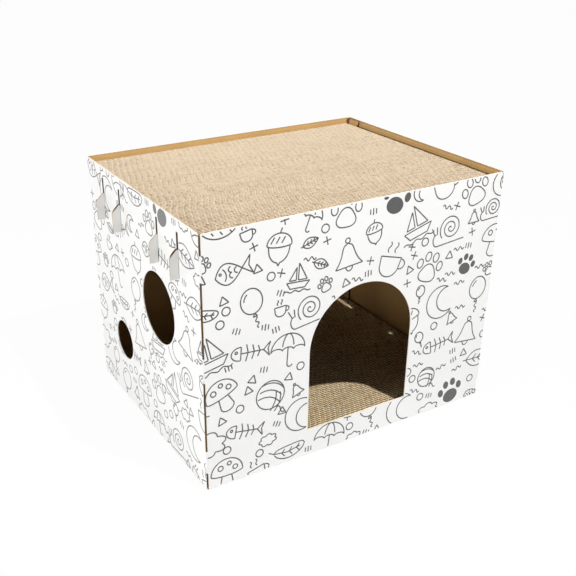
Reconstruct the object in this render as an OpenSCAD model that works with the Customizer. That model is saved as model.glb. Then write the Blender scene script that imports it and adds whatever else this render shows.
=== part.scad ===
// Cardboard cat house: a folded and glued sleeve of corrugated board with an arched door and two
// peep holes, two folded beams that hook through slots in the side walls, a scratch pad laid on the
// beams just below the rim, and a second scratch pad on the floor.
// Millimetres, +Z up. The origin is on the ground under the middle of the house; the door faces -Y.

/* [Sleeve] */
// Outside width of the house, left to right
house_width = 430; // [390:1:480]
// Outside depth of the house, front to back
house_depth = 332; // [300:1:380]
// Height of the four walls
house_height = 328; // [310:1:380]
// Thickness of the corrugated board
board = 4; // [3:0.5:5]
// Outside radius of a creased fold
fold_radius = 2; // [1:0.5:2.5]

/* [Cut creases] */
// Length of each uncut bridge along a corner
bridge_length = 31; // [15:1:45]
// Distance between the middles of two bridges
bridge_pitch = 124; // [60:1:130]
// Depth of the open notch along the cut stretches of a corner
crease_cut = 2; // [0.5:0.5:2.5]

/* [Glue flap] */
// Width of the flap that is glued inside the right wall
flap_width = 30; // [20:1:40]

/* [Door] */
// Width of the door
door_width = 154; // [100:1:180]
// Height of the door from its sill to the crown of its arch
door_height = 185; // [120:1:190]
// Height of the sill above the ground
door_sill = 38; // [25:1:50]
// How far the door sits to the right of the wall's middle
door_shift = 4; // [-20:1:20]

/* [Peep holes] */
// Diameter of the large hole in the left wall
large_hole = 92; // [60:1:100]
// Distance of the large hole's centre from the front of the house
large_hole_depth = 118; // [90:1:140]
// Height of the large hole's centre
large_hole_height = 194; // [150:1:200]
// Diameter of the small hole in the left wall
small_hole = 55; // [35:1:65]
// Distance of the small hole's centre from the front of the house
small_hole_depth = 241; // [220:1:260]
// Height of the small hole's centre
small_hole_height = 93; // [60:1:140]

/* [Scratch pads] */
// Thickness of one corrugated strip
strip_thickness = 3.8; // [3:0.1:5]
// Thickness of the glue between two strips
glue_line = 0.1; // [0.1:0.05:0.3]
// Clearance around a pad
pad_gap = 2; // [1:0.5:4]
// Height of the strips in the top pad
top_pad_height = 28; // [18:1:35]
// How far the top pad lies below the rim
rim_height = 7; // [4:1:20]
// Height of the strips in the floor pad
floor_pad_height = 28; // [20:1:36]

/* [Beams] */
// Width of a beam over its two webs
beam_width = 59; // [45:1:75]
// Distance between the middles of the two beams
beam_spacing = 169; // [110:1:190]
// Height of a web
web_height = 50; // [40:1:60]
// Clearance between the end of a beam and the side wall
beam_end_gap = 0.5; // [0.3:0.1:2]

/* [Hooks] */
// How far a hook stands out from the side wall
hook_reach = 11; // [8:0.5:16]
// Height of the neck that passes through the wall
hook_neck = 16; // [12:1:20]
// How far a hook hangs below its neck
hook_drop = 19; // [10:1:22]
// Size of the chamfer on a hook's upper corner
hook_chamfer = 9; // [4:0.5:10]
// Clearance between a hook and the outside of the wall
hook_gap = 0.5; // [0.3:0.1:2]
// Clearance on each side of a web in its slot
slot_gap = 0.5; // [0.3:0.1:1.5]
// Spare height of a slot above a lifted hook
slot_headroom = 1; // [0.5:0.5:4]

/* [Hidden] */
$fn = 64;
cut_past = 1;
half_width = house_width / 2;
half_depth = house_depth / 2;
inner_half_width = half_width - board;

// Heights of the beams and their slots
deck_top = house_height - rim_height - top_pad_height;
neck_bottom = deck_top - hook_neck;
slot_height = hook_neck + hook_drop + slot_headroom;
slot_width = board + 2 * slot_gap;
beam_rows = [-beam_spacing / 2, beam_spacing / 2];
web_sides = [-1, 1];
web_offset = (beam_width - board) / 2;
beam_half_length = inner_half_width - beam_end_gap;

// Bridges left along each folded corner, and the cut stretches between them
bridge_middles = [for (row = [-1:1]) house_height / 2 + row * bridge_pitch];
cut_starts = concat([0], [for (middle = bridge_middles) middle + bridge_length / 2]);
cut_ends = concat([for (middle = bridge_middles) middle - bridge_length / 2], [house_height]);

// Pads: the glue flap takes one board's thickness from the right end of both
pad_length = 2 * inner_half_width - board - 2 * pad_gap;
pad_middle = -board / 2;
strip_pitch = strip_thickness + glue_line;
strip_count = floor((house_depth - 2 * board - 2 * pad_gap + glue_line) / strip_pitch);
pad_depth = strip_count * strip_pitch - glue_line;

printed_white = "whitesmoke";
plain_white = "gainsboro";
kraft = "burlywood";
pad_tan = "tan";

// The corner left over outside a quarter circle; the sharp corner is at the origin
module fold_waste() {
    difference() {
        translate([-cut_past, -cut_past]) square(fold_radius + cut_past);
        translate([fold_radius, fold_radius]) circle(fold_radius);
    }
}

// A wall lies along X from start to end, outside face at y = 0 and inside face at y = board.
// A folded end is mitred to meet its neighbour and has a rounded arris; another end is square.
module wall_blank(start, end, start_folded, end_folded) {
    linear_extrude(house_height) difference() {
        polygon([[start, 0],
                 [end, 0],
                 [end - (end_folded ? board : 0), board],
                 [start + (start_folded ? board : 0), board]]);
        if (start_folded) translate([start, 0]) fold_waste();
        if (end_folded) translate([end, 0]) mirror([1, 0]) fold_waste();
    }
}

// The cut stretches of a creased corner, to be taken out of the wall that ends there
module corner_cuts(end) {
    for (row = [0:len(cut_starts) - 1])
        translate([end - crease_cut, -crease_cut, cut_starts[row]])
            cube([2 * crease_cut, 2 * crease_cut, cut_ends[row] - cut_starts[row]]);
}

// Cuts a flat shape, drawn on the face of a wall, through the wall
module through_wall() {
    translate([0, board + cut_past, 0])
        rotate([90, 0, 0])
            linear_extrude(board + 2 * cut_past) children();
}

module door_outline() {
    arch_radius = door_width / 2;
    spring_height = door_sill + door_height - arch_radius;
    translate([door_shift, spring_height]) circle(arch_radius);
    translate([door_shift - arch_radius, door_sill]) square([door_width, spring_height - door_sill]);
}

module hook_slots() {
    for (beam = beam_rows, side = web_sides)
        translate([beam + side * web_offset - slot_width / 2, neck_bottom])
            square([slot_width, slot_height]);
}

module peep_holes() {
    translate([half_depth - large_hole_depth, large_hole_height]) circle(d = large_hole);
    translate([half_depth - small_hole_depth, small_hole_height]) circle(d = small_hole);
}

module front_wall() {
    color(printed_white) translate([0, -half_depth, 0]) difference() {
        wall_blank(-half_width, half_width, true, true);
        corner_cuts(-half_width);
        corner_cuts(half_width);
        through_wall() door_outline();
    }
}

module right_wall() {
    color(printed_white) translate([half_width, 0, 0]) rotate([0, 0, 90]) difference() {
        wall_blank(-half_depth, half_depth, true, false);
        corner_cuts(-half_depth);
        through_wall() hook_slots();
    }
}

module back_wall() {
    color(printed_white) translate([0, half_depth, 0]) rotate([0, 0, 180]) difference() {
        wall_blank(-inner_half_width, half_width, true, true);
        corner_cuts(half_width);
    }
}

module left_wall() {
    color(printed_white) translate([-half_width, 0, 0]) rotate([0, 0, -90]) difference() {
        wall_blank(-half_depth, half_depth, true, true);
        corner_cuts(-half_depth);
        corner_cuts(half_depth);
        through_wall() hook_slots();
        through_wall() peep_holes();
    }
}

module glue_flap() {
    color(kraft) translate([inner_half_width, 0, 0]) rotate([0, 0, 90])
        wall_blank(half_depth - flap_width, half_depth, false, true);
}

// A beam's deck, a bar along X whose long edges are mitred to meet the webs
module deck_bar() {
    translate([-beam_half_length, 0, deck_top]) rotate([90, 0, 90])
        linear_extrude(2 * beam_half_length) polygon([[-beam_width / 2, 0],
                                                      [beam_width / 2, 0],
                                                      [beam_width / 2 - board, -board],
                                                      [-beam_width / 2 + board, -board]]);
}

// What rounds the two folds of a beam, along the deck only
module deck_fold_waste() {
    translate([-beam_half_length, 0, deck_top]) rotate([90, 0, 90])
        linear_extrude(2 * beam_half_length) for (side = [0, 1])
            mirror([side, 0]) translate([beam_width / 2, 0]) rotate(180) fold_waste();
}

module beam_deck(row) {
    color(plain_white) translate([0, row, 0]) difference() {
        deck_bar();
        deck_fold_waste();
    }
}

// One end of a web with its hook, on the +X side, from the chamfer down to the lower corner
web_end = [[half_width + hook_reach - hook_chamfer, deck_top],
           [half_width + hook_reach, deck_top - hook_chamfer],
           [half_width + hook_reach, neck_bottom - hook_drop],
           [half_width + hook_gap, neck_bottom - hook_drop],
           [half_width + hook_gap, neck_bottom],
           [beam_half_length, neck_bottom],
           [beam_half_length, deck_top - web_height]];
web_outline = concat(web_end, [for (i = [len(web_end) - 1:-1:0]) [-web_end[i].x, web_end[i].y]]);

module beam_web(row, side) {
    color(plain_white) translate([0, row, 0]) difference() {
        translate([0, side * web_offset + board / 2, 0]) rotate([90, 0, 0])
            linear_extrude(board) polygon(web_outline);
        deck_bar();
        deck_fold_waste();
    }
}

// Strips on edge, glued face to face from front to back
module pad_strips(bottom, height) {
    color(pad_tan) for (i = [0:strip_count - 1])
        translate([pad_middle - pad_length / 2, i * strip_pitch - pad_depth / 2, bottom])
            cube([pad_length, strip_thickness, height]);
}

module front_beam_deck() { beam_deck(beam_rows[0]); }
module front_beam_near_web() { beam_web(beam_rows[0], web_sides[0]); }
module front_beam_far_web() { beam_web(beam_rows[0], web_sides[1]); }
module back_beam_deck() { beam_deck(beam_rows[1]); }
module back_beam_near_web() { beam_web(beam_rows[1], web_sides[0]); }
module back_beam_far_web() { beam_web(beam_rows[1], web_sides[1]); }
module top_pad_strips() { pad_strips(deck_top, top_pad_height); }
module floor_pad_strips() { pad_strips(0, floor_pad_height); }

front_wall();
right_wall();
back_wall();
left_wall();
glue_flap();
front_beam_deck();
front_beam_near_web();
front_beam_far_web();
back_beam_deck();
back_beam_near_web();
back_beam_far_web();
top_pad_strips();
floor_pad_strips();
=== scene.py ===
"""A cardboard cat house, dressed in printed board with open flutes and in corrugated scratch pads."""

from dataclasses import dataclass, field
from typing import Callable

import bmesh
import bpy
import numpy as np
from bpy.props import FloatProperty, FloatVectorProperty, IntProperty, PointerProperty
from bpy.types import NodeSocket, Operator, Panel, PropertyGroup, Scene
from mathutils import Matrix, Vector


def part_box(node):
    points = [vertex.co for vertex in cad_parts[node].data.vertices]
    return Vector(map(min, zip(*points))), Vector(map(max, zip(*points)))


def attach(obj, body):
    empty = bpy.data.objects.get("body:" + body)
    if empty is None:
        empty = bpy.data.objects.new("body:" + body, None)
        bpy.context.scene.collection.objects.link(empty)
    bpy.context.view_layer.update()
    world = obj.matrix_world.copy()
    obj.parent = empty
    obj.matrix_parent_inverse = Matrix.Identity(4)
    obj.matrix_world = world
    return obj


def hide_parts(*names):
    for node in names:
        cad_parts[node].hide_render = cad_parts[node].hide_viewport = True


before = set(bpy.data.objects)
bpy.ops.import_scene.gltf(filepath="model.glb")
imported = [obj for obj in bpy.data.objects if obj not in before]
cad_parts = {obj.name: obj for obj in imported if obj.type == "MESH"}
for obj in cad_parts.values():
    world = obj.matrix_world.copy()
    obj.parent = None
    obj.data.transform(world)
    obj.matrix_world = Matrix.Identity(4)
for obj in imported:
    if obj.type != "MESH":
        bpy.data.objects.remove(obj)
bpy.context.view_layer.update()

bl_info = {
    "name": "Cardboard Cat House",
    "version": (1, 0, 0),
    "blender": (4, 5, 0),
    "location": "View3D > Sidebar > Cat House",
    "description": "Dresses a folded cardboard cat house in printed board and scratch pads",
    "category": "Add Mesh",
}

MM = 0.001
FULL_TURN = 2 * np.pi
WELD = 1e-6
WHITE = (1, 1, 1, 1)
NO_INSETS = ((0, 0), (0, 0))

# The house, as the frame has it
FRONT_LOW, FRONT_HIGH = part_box("front_wall")
LEFT_LOW, LEFT_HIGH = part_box("left_wall")
FLAP_LOW, FLAP_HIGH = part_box("glue_flap")
HALF_WIDTH = -LEFT_LOW.x
HALF_DEPTH = -FRONT_LOW.y
HEIGHT = FRONT_HIGH.z
BOARD = LEFT_HIGH.x - LEFT_LOW.x
BEAMS = ("front_beam", "back_beam")
WEB_SIDES = ("near", "far")
WEBS = [f"{beam}_{side}_web" for beam in BEAMS for side in WEB_SIDES]
WEB_MIDDLES = [(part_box(web)[0].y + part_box(web)[1].y) / 2 for web in WEBS]

# How finely the shapes are divided
HOLE_STEPS = 64  # along the width of a round hole or an arch
FLUTE_STEPS = 12  # along one flute of a board
FOLD_STEPS = 8  # round a creased corner
LINER_STEPS = 2  # along a pad's liner, for each flute beside it
PRESS_STEPS = np.array([0.25, 0.5, 1])  # where the slope to a crushed edge turns, as shares of its reach
STROKE_STEP = 1.3 * MM  # along a drawn stroke
LEAST_STEPS = 8  # along a stroke, however short it is
FEW_POINTS = 8  # a stroke drawn from fewer points keeps its corners
WAVE_STEPS = 8  # along one wave of a rippled stroke
SPIRAL_STEPS = 20  # round one turn of a filled spot

# How the ink and the strips differ by chance or by turns
MOTIF_TURN = 0.4  # most that a drawing is turned, in radians
FILM_STEPS = 8  # thicknesses of ink before they repeat
DENT_CROWDING = (1.5, 3)  # powers that crowd the dents to the left and to the front
DENT_REACH = (2, 4.5)  # least and most, in millimetres
DENT_DEPTH = (0.2, 1)  # least and most, as shares of the deepest
STRIP_STRAY = 0.3  # share of the fray by which a whole strip stands high or low
LOWEST_STRAY = 3  # lowest that a cut edge strays, in frays
PITCH_SPREAD = 0.002  # share by which the strips' flute pitches differ

# Finishes
NOISE_RANGE = (0.3, 0.7)  # holds nearly all values of a noise
COAT_ROUGHNESS = 0.2
COAT_INDEX = 1.6  # of refraction
SHEEN_SPREAD = 0.05  # how far a white's roughness strays
RAW_SPREAD = 0.15  # from the smoothest to the roughest of a raw paper
RAW_BUMP = 0.3
BUMP_DEPTH = 0.2 * MM
UNSHADED_TOP = 0.15 * MM  # the sides are fully pale, without the painted shade, within this depth
PAINTED_SHADE_STRAY = (0.8, 1.2)  # least and most that the pale reaches above the painted shade, as shares of its depth
BEND_PAINTED_SHADE = 0.93  # painted shade on the white that is bent round a corner
BEAM_FLUTE_PAINTED_SHADE = 0.5  # painted shade on the flutes in the beams, beside those in the walls, for their dark open mouths

# Clearances and limits
INK_MARGIN = 0.3 * MM  # between a line and an edge of the board
UPWARD = 0.3  # least upward part of the normal of a cut edge
FLOOR_REACH = 6.0  # from the middle of the floor to each side
FLOOR_DROP = 0.3 * MM  # below the ground, so that the floor and the house share no plane


def length(name, description, millimetres):
    """A size that is written in millimetres and kept in metres."""
    return FloatProperty(name=name, description=description, default=millimetres * MM,
                         unit="LENGTH", precision=5)


def point(name, description, x, y, z):
    """A place in metres."""
    return FloatVectorProperty(name=name, description=description, default=(x, y, z),
                               subtype="TRANSLATION", unit="LENGTH")


def colour(name, description, red, green, blue):
    """A linear colour."""
    return FloatVectorProperty(name=name, description=description, default=(red, green, blue),
                               subtype="COLOR", min=0, max=1)


def ratio(name, description, default):
    """A share, or a level of light as a share of plain white."""
    return FloatProperty(name=name, description=description, default=default)


def span(name, description, first, last):
    """Two shares between which something runs."""
    return FloatVectorProperty(name=name, description=description, default=(first, last), size=2)


def radians(name, description, default):
    """An angle."""
    return FloatProperty(name=name, description=description, default=default, subtype="ANGLE")


def pixels(name, description, default):
    """A distance in the picture."""
    return FloatProperty(name=name, description=description, default=default, subtype="PIXEL")


def count(name, description, default, least=0):
    """A whole number."""
    return IntProperty(name=name, description=description, default=default, min=least)


class BoardSettings(PropertyGroup):
    """The corrugated board of the sleeve and the beams."""
    liner: length("Liner", "Thickness of each facing sheet", 0.4)
    medium: length("Medium", "Thickness of the fluted sheet", 0.28)
    flute_pitch: length("Flute pitch", "Distance from one flute to the next", 7.9)
    crush: length("Crush", "How far the board is crushed beside a die-cut edge", 8)
    fold_radius: length("Fold radius", "Outside radius of a creased corner", 2)
    bridge: length("Bridge", "Length of each uncut bridge along a corner", 31)
    bridge_pitch: length("Bridge pitch", "Distance between the middles of two bridges", 124)
    white: colour("White", "Coated outside of the sleeve", 0.86, 0.855, 0.84)
    plain: colour("Plain white", "Uncoated outside of the beams", 0.86, 0.85, 0.82)
    kraft: colour("Kraft", "Inside of the sleeve", 0.49, 0.295, 0.105)
    flute: colour("Flute", "Fluted sheet between the liners", 0.34, 0.20, 0.085)
    cut: colour("Cut edge", "Paper where it is cut through", 0.80, 0.735, 0.63)
    # A painted shade, darker than the flute paper, for the shade in the glue flap's fold
    fold_painted_shade: colour("Fold core", "Darker core in the glue flap and its fold", 0.17, 0.078, 0.022)


class OpeningSettings(PropertyGroup):
    """The door, the peep holes and the slots for the hooks."""
    door_width: length("Door width", "Width of the door", 154)
    door_sill: length("Door sill", "Height of the sill", 38)
    door_crown: length("Door crown", "Height of the top of the arch", 223)
    door_shift: length("Door shift", "How far the door sits right of the middle", 4)
    large_hole: length("Large hole", "Diameter of the large peep hole", 92)
    large_hole_place: length("Large hole place", "Its distance in front of the middle", 48)
    large_hole_height: length("Large hole height", "Height of its centre", 194)
    small_hole: length("Small hole", "Diameter of the small peep hole", 55)
    small_hole_place: length("Small hole place", "Its distance behind the middle", 75)
    small_hole_height: length("Small hole height", "Height of its centre", 93)
    slot_width: length("Slot width", "Width of a slot for a hook", 5)
    slot_height: length("Slot height", "Height of a slot for a hook", 36)


class HookSettings(PropertyGroup):
    """The hooks at the ends of the beams."""
    neck: length("Neck", "Height of the neck in the slot", 16)
    drop: length("Drop", "How far a hook hangs below its neck", 19)
    chamfer: length("Chamfer", "Size of the chamfer on the upper corner", 9)
    gap: length("Gap", "Clearance between a hook and the wall", 0.5)
    crush: length("Crush", "How far a hook is crushed beside its die-cut edge", 4)


class PadSettings(PropertyGroup):
    """The scratch pads."""
    strip: length("Strip", "Thickness of one corrugated strip", 3.8)
    glue: length("Glue", "Thickness of the glue between two strips", 0.1)
    liner: length("Liner", "Thickness of a strip's facing sheets", 0.45)
    medium: length("Medium", "Thickness of a strip's fluted sheet", 0.4)
    flute_pitch: length("Flute pitch", "Distance from one flute to the next", 7.9)
    flute_steps: count("Flute steps", "Stations along one flute", 8, least=6)
    top_drift: radians("Top drift", "How far the top pad's flutes run on from strip to strip", -1.1)
    floor_drift: radians("Floor drift", "How far the floor pad's flutes run on from strip to strip", -1.5)
    waver: radians("Waver", "How much that drift differs by chance", 0.4)
    fray: length("Fray", "How far the cut edges stray up and down", 0.16)
    dents: count("Dents", "How many dents each pad has", 50, least=1)
    dent: length("Dent", "Depth of the deepest dent", 0.7)
    seed: count("Seed", "Seed of the strips' chance differences", 11)
    # The strips' sides stay pale like the cut for these depths below it, and below them take a painted shade
    # standing for the shade deep in the cells; the pale reaches further at a pad's back
    top_painted_shade_start: length("Top bruise", "How far down the top pad's sheets are bruised pale", 1.4)
    floor_painted_shade_start: length("Floor bruise", "How far down the floor pad's sheets are bruised pale", 0.75)
    painted_shade_growth: span("Bruise growth", "Share of the bruise at a pad's front and at its back", 0.55, 1.25)
    flute_shade: ratio("Flute shade", "Shade of the fluted sheets beside the liners", 0.93)
    top_edge: colour("Top pad's edge", "Scratched paper along the top pad's cut", 0.87, 0.727, 0.54)
    floor_edge: colour("Floor pad's edge", "Fresh paper along the floor pad's cut", 1.0, 0.80, 0.50)
    # The insides are a painted shade, not the paper's own colour: the dark tone of the cells' shaded depths
    top_painted_shade: colour("Top pad's inside", "Paper inside the top pad's flutes", 0.27, 0.13, 0.022)
    floor_painted_shade: colour("Floor pad's inside", "Paper inside the floor pad's flutes", 0.12, 0.065, 0.022)


class PrintSettings(PropertyGroup):
    """The line print on the outside of the sleeve."""
    line: length("Line", "Width of a drawn line", 1.6)
    film: length("Film", "Least thickness of the ink", 0.03)
    large: length("Large motif", "Half the size of a large motif", 27)
    middle: length("Middle motif", "Half the size of a middling motif", 20)
    small: length("Small motif", "Half the size of a small motif", 13)
    mark: length("Mark", "Half the size of a mark in a gap", 7)
    crowd: ratio("Crowd", "Share of their sizes that two drawings keep apart", 0.9)
    throws: count("Throws", "Places tried for the middling motifs and for the marks", 2000)
    sparse: ratio("Sparse", "Share of those throws that large and small motifs get", 0.3)
    seed: count("Seed", "Seed of the layout", 5)
    ink: colour("Ink", "Dark grey ink", 0.024, 0.023, 0.022)


class StageSettings(PropertyGroup):
    """The camera, the lamps and the floor."""
    camera: point("Camera", "Place of the camera", -0.5680, -0.8956, 0.6439)
    heading: radians("Heading", "Turn of the view from +Y towards +X", np.radians(30.437))
    tilt: radians("Tilt", "How far the view looks down", np.radians(26.127))
    image: pixels("Image", "Side of the picture", 576)
    focal: pixels("Focal length", "Focal length of the lens", 842.1)
    axis_x: pixels("Axis X", "Column that the lens axis meets", 262)
    axis_y: pixels("Axis Y", "Row that the lens axis meets", 305)
    sky: ratio("Sky", "Strength of the even light all round", 0.14)
    key: ratio("Key", "Key light on a surface that faces it", 1.1)
    key_size: length("Key size", "Side of the key lamp", 30)
    key_place: point("Key place", "Place of the key lamp", 0.315, -1.085, 2.019)
    fill: ratio("Fill", "Fill light on a surface that faces it", 0.56)
    fill_size: length("Fill size", "Side of the fill lamp", 700)
    fill_place: point("Fill place", "Place of the fill lamp", -1.965, -0.4, 0.43)
    top: ratio("Top", "Top light on a surface that faces it", 0.19)
    top_size: length("Top size", "Side of the top lamp", 500)
    top_place: point("Top place", "Place of the top lamp", -0.5, 0.5, 1.1)
    floor: colour("Floor", "Pale floor", 0.65, 0.65, 0.65)
    floor_glow: ratio("Floor glow", "Share of plain white in the floor as it is seen", 0.97)


GROUPS = {"board": BoardSettings, "openings": OpeningSettings, "hooks": HookSettings,
          "pads": PadSettings, "artwork": PrintSettings, "stage": StageSettings}


def settings(group):
    """One of the property groups of the scene."""
    return getattr(bpy.context.scene, f"cat_house_{group}")


# Boards and their outlines

@dataclass
class Board:
    """A flat board: the middle of its lower outside edge, and the directions along, up and out of it."""
    origin: tuple
    along: tuple
    up: tuple
    outward: tuple

    def place(self, along, up, depth):
        """The point at these distances along the board, up it, and in from its outside face."""
        along, up, depth = np.broadcast_arrays(along, up, depth)
        steps = along[..., None] * np.array(self.along) + up[..., None] * np.array(self.up)
        return np.array(self.origin) + steps - depth[..., None] * np.array(self.outward)


@dataclass
class Opening:
    """A cut-out: the stretches along the board that it spans, its lower and upper edges there, widened by a
    margin if one is given, and how far a point lies from its edge, negative inside.

    Beside a crushed cut-out the board is pressed thin by the die."""
    stretches: list
    low: Callable
    high: Callable
    distance: Callable
    steps: int = 1
    crushed: bool = False


@dataclass
class Outline:
    """A board's ends, its lower edge, its upper edge, and its cut-outs from the lowest to the highest.

    Knees are the places along it where the upper edge bends. The press is how far the board slopes down to
    an edge that is crushed: a cut-out's, an end or the upper edge."""
    start: float
    end: float
    bottom: float
    top: Callable
    openings: list = field(default_factory=list)
    knees: tuple = ()
    press: float = 0.0
    ends_crushed: tuple = (False, False)
    top_crushed: bool = False

    def crush(self, along, up):
        """How much the board is crushed at a point: fully at a crushed edge, not at all beyond the press."""
        nearest = np.full(np.broadcast_shapes(along.shape, up.shape), self.press)
        for opening in self.openings:
            if opening.crushed:
                nearest = np.minimum(nearest, opening.distance(along, up))
        for crushed, distance in zip(self.ends_crushed, (along - self.start, self.end - along)):
            if crushed:
                nearest = np.minimum(nearest, distance)
        if self.top_crushed:
            nearest = np.minimum(nearest, self.top(along) - up)
        return np.clip(1 - nearest / max(self.press, WELD), 0, 1)


def level(height):
    """An edge that stays at one height."""
    return lambda along: np.full_like(along, height)


def bulge(offset, radius):
    """How far a circle rises above its middle at an offset from it, and nothing beside it."""
    return np.sqrt(np.clip(radius ** 2 - offset ** 2, 0, None))


def round_opening(middle, height, diameter):
    """A round hole."""
    radius = diameter / 2
    return Opening([(middle - radius, middle + radius)],
                   lambda along, margin=0.0: height - bulge(along - middle, radius + margin),
                   lambda along, margin=0.0: height + bulge(along - middle, radius + margin),
                   lambda along, up: np.hypot(along - middle, up - height) - radius, HOLE_STEPS, crushed=True)


def arched_opening(middle, width, sill, crown):
    """A door with upright sides and a half-round top."""
    radius = width / 2
    spring = crown - radius

    def distance(along, up):
        """From the arch above the spring, and from the upright sides and the sill below it."""
        over = np.hypot(along - middle, up - spring) - radius
        beside = np.maximum(np.abs(along - middle) - radius, sill - up)
        return np.where(up > spring, over, beside)

    return Opening([(middle - radius, middle + radius)],
                   lambda along, margin=0.0: np.full_like(along, sill - margin),
                   lambda along, margin=0.0: spring + bulge(along - middle, radius + margin),
                   distance, HOLE_STEPS, crushed=True)


def square_opening(stretches, low, high):
    """Upright slots between the same two heights."""
    def distance(along, up):
        """From the nearest side of the nearest slot."""
        beside = [np.abs(along - (first + last) / 2) - (last - first) / 2 for first, last in stretches]
        return np.maximum(np.minimum.reduce(beside), np.maximum(low - up, up - high))

    return Opening(stretches, level(low), level(high), distance)


def hook_slots(direction):
    """The four slots for the hooks in a side wall that runs along +Y or -Y."""
    sizes = settings("openings")
    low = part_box("front_beam_deck")[1].z - settings("hooks").neck
    half = sizes.slot_width / 2
    stretches = [(direction * middle - half, direction * middle + half) for middle in WEB_MIDDLES]
    return square_opening(stretches, low, low + sizes.slot_height)


def walls():
    """Each wall's board, its outline, and whether its two ends are creased corners."""
    sizes = settings("openings")
    up = (0, 0, 1)
    door = arched_opening(sizes.door_shift, sizes.door_width, sizes.door_sill, sizes.door_crown)
    small = round_opening(-sizes.small_hole_place, sizes.small_hole_height, sizes.small_hole)
    large = round_opening(sizes.large_hole_place, sizes.large_hole_height, sizes.large_hole)
    rim = level(HEIGHT)
    pressed = {"press": settings("board").crush, "top_crushed": True}
    return {
        "front_wall": (Board((0, -HALF_DEPTH, 0), (1, 0, 0), up, (0, -1, 0)),
                       Outline(-HALF_WIDTH, HALF_WIDTH, 0, rim, [door], **pressed), (True, True)),
        "right_wall": (Board((HALF_WIDTH, 0, 0), (0, 1, 0), up, (1, 0, 0)),
                       Outline(-HALF_DEPTH, HALF_DEPTH, 0, rim, [hook_slots(1)], **pressed), (True, False)),
        "back_wall": (Board((0, HALF_DEPTH, 0), (-1, 0, 0), up, (0, 1, 0)),
                      Outline(BOARD - HALF_WIDTH, HALF_WIDTH, 0, rim, **pressed), (False, True)),
        "left_wall": (Board((-HALF_WIDTH, 0, 0), (0, -1, 0), up, (-1, 0, 0)),
                      Outline(-HALF_DEPTH, HALF_DEPTH, 0, rim, [small, large, hook_slots(-1)], **pressed),
                      (True, True)),
    }


# Meshes from arrays

def quad_mesh(name, points, quads):
    """A mesh of quads, without the points that no quad uses."""
    used, corners = np.unique(quads, return_inverse=True)
    points = points[used].astype(np.float32)
    mesh = bpy.data.meshes.new(name)
    mesh.vertices.add(len(points))
    mesh.vertices.foreach_set("co", points.ravel())
    mesh.loops.add(corners.size)
    mesh.loops.foreach_set("vertex_index", corners.astype(np.int32).ravel())
    mesh.polygons.add(len(quads))
    mesh.polygons.foreach_set("loop_start", np.arange(0, corners.size, 4, dtype=np.int32))
    mesh.update(calc_edges=True)
    mesh.validate()
    mesh.shade_flat()
    return mesh


def new_piece(name, mesh, materials, body, replaces=()):
    """An object that rides on a body, wears the materials and may stand for nodes of the frame."""
    piece = bpy.data.objects.new(name, mesh)
    bpy.context.scene.collection.objects.link(piece)
    for material in materials:
        mesh.materials.append(material)
    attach(piece, body)
    if replaces:
        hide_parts(*replaces)
    return piece


def grid_quads(columns, rows):
    """The cells of a grid of points that is stored column by column, each as its four corners."""
    index = np.arange(columns * rows).reshape(columns, rows)
    return np.stack([index[:-1, :-1], index[1:, :-1], index[1:, 1:], index[:-1, 1:]], axis=-1)


def bar_corners(path, side, base, top):
    """A four-cornered section at each station of a path: to both sides of it, from base to top."""
    return np.stack([path + side + base, path - side + base, path - side + top, path + side + top], axis=-2)


def bar_quads(joined):
    """The sides and ends of bars with four corners; joined says which stations run on to the next."""
    corners = 4 * np.arange(len(joined))[:, None] + np.arange(4)
    near, far = corners[:-1][joined[:-1]], corners[1:][joined[:-1]]
    sides = np.stack([near, far, np.roll(far, -1, axis=1), np.roll(near, -1, axis=1)], axis=-1)
    reached = np.concatenate([[False], joined[:-1]])
    starts = corners[joined & ~reached]
    ends = corners[~joined & reached][:, ::-1]
    return np.concatenate([sides.reshape(-1, 4), starts, ends])


def unbroken(bars, stations):
    """Which stations run on to the next, in bars of equally many stations."""
    joined = np.ones((bars, stations), bool)
    joined[:, -1] = False
    return joined.ravel()


def board_columns(outline, spacing, start, end, margins):
    """Distances along a board: evenly spaced, at each knee, at a crushed end's margins, and by equal turns
    round each cut-out and round a crushed one's margins."""
    runs = [np.linspace(start, end, int((end - start) / spacing) + 2), np.array(outline.knees)]
    for crushed, slope in zip(outline.ends_crushed, (start + np.array(margins), end - np.array(margins))):
        runs += [slope] if crushed else []
    for opening in outline.openings:
        turn = np.linspace(0, np.pi, opening.steps + 1)
        for margin in [0, *margins] if opening.crushed else [0]:
            runs += [(first + last) / 2 - ((last - first) / 2 + margin) * np.cos(turn)
                     for first, last in opening.stretches]
    along = np.unique(np.round(np.concatenate(runs) / WELD) * WELD)
    return along[(along > start - WELD) & (along < end + WELD)]


def sheet(board, outline, along, depth, margins):
    """Points and cells of a sheet: columns along the board, and rows at its edges and its cut-outs' edges.

    A crushed cut-out or upper edge has more rows at the margins beside it. A cell between a cut-out's lower
    and upper edge is left out along the stretches that it spans. depth is worked out from a point's place."""
    rows = [np.full_like(along, outline.bottom)]
    hollow = []
    for opening in outline.openings:
        widened = margins if opening.crushed else ()
        rows += [opening.low(along, margin) for margin in widened[::-1]]
        hollow.append(len(rows))
        rows += [opening.low(along), opening.high(along)]
        rows += [opening.high(along, margin) for margin in widened]
    if outline.top_crushed:
        rows += [outline.top(along) - margin for margin in margins[::-1]]
    heights = np.stack([*rows, outline.top(along)], axis=1)
    points = board.place(along[:, None], heights, depth(along[:, None], heights))
    solid = np.ones((heights.shape[0] - 1, heights.shape[1] - 1), bool)
    middles = (along[:-1] + along[1:]) / 2
    for row, opening in zip(hollow, outline.openings):
        for first, last in opening.stretches:
            solid[(middles > first) & (middles < last), row] = False
    return points.reshape(-1, 3), grid_quads(*heights.shape)[solid]


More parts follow.
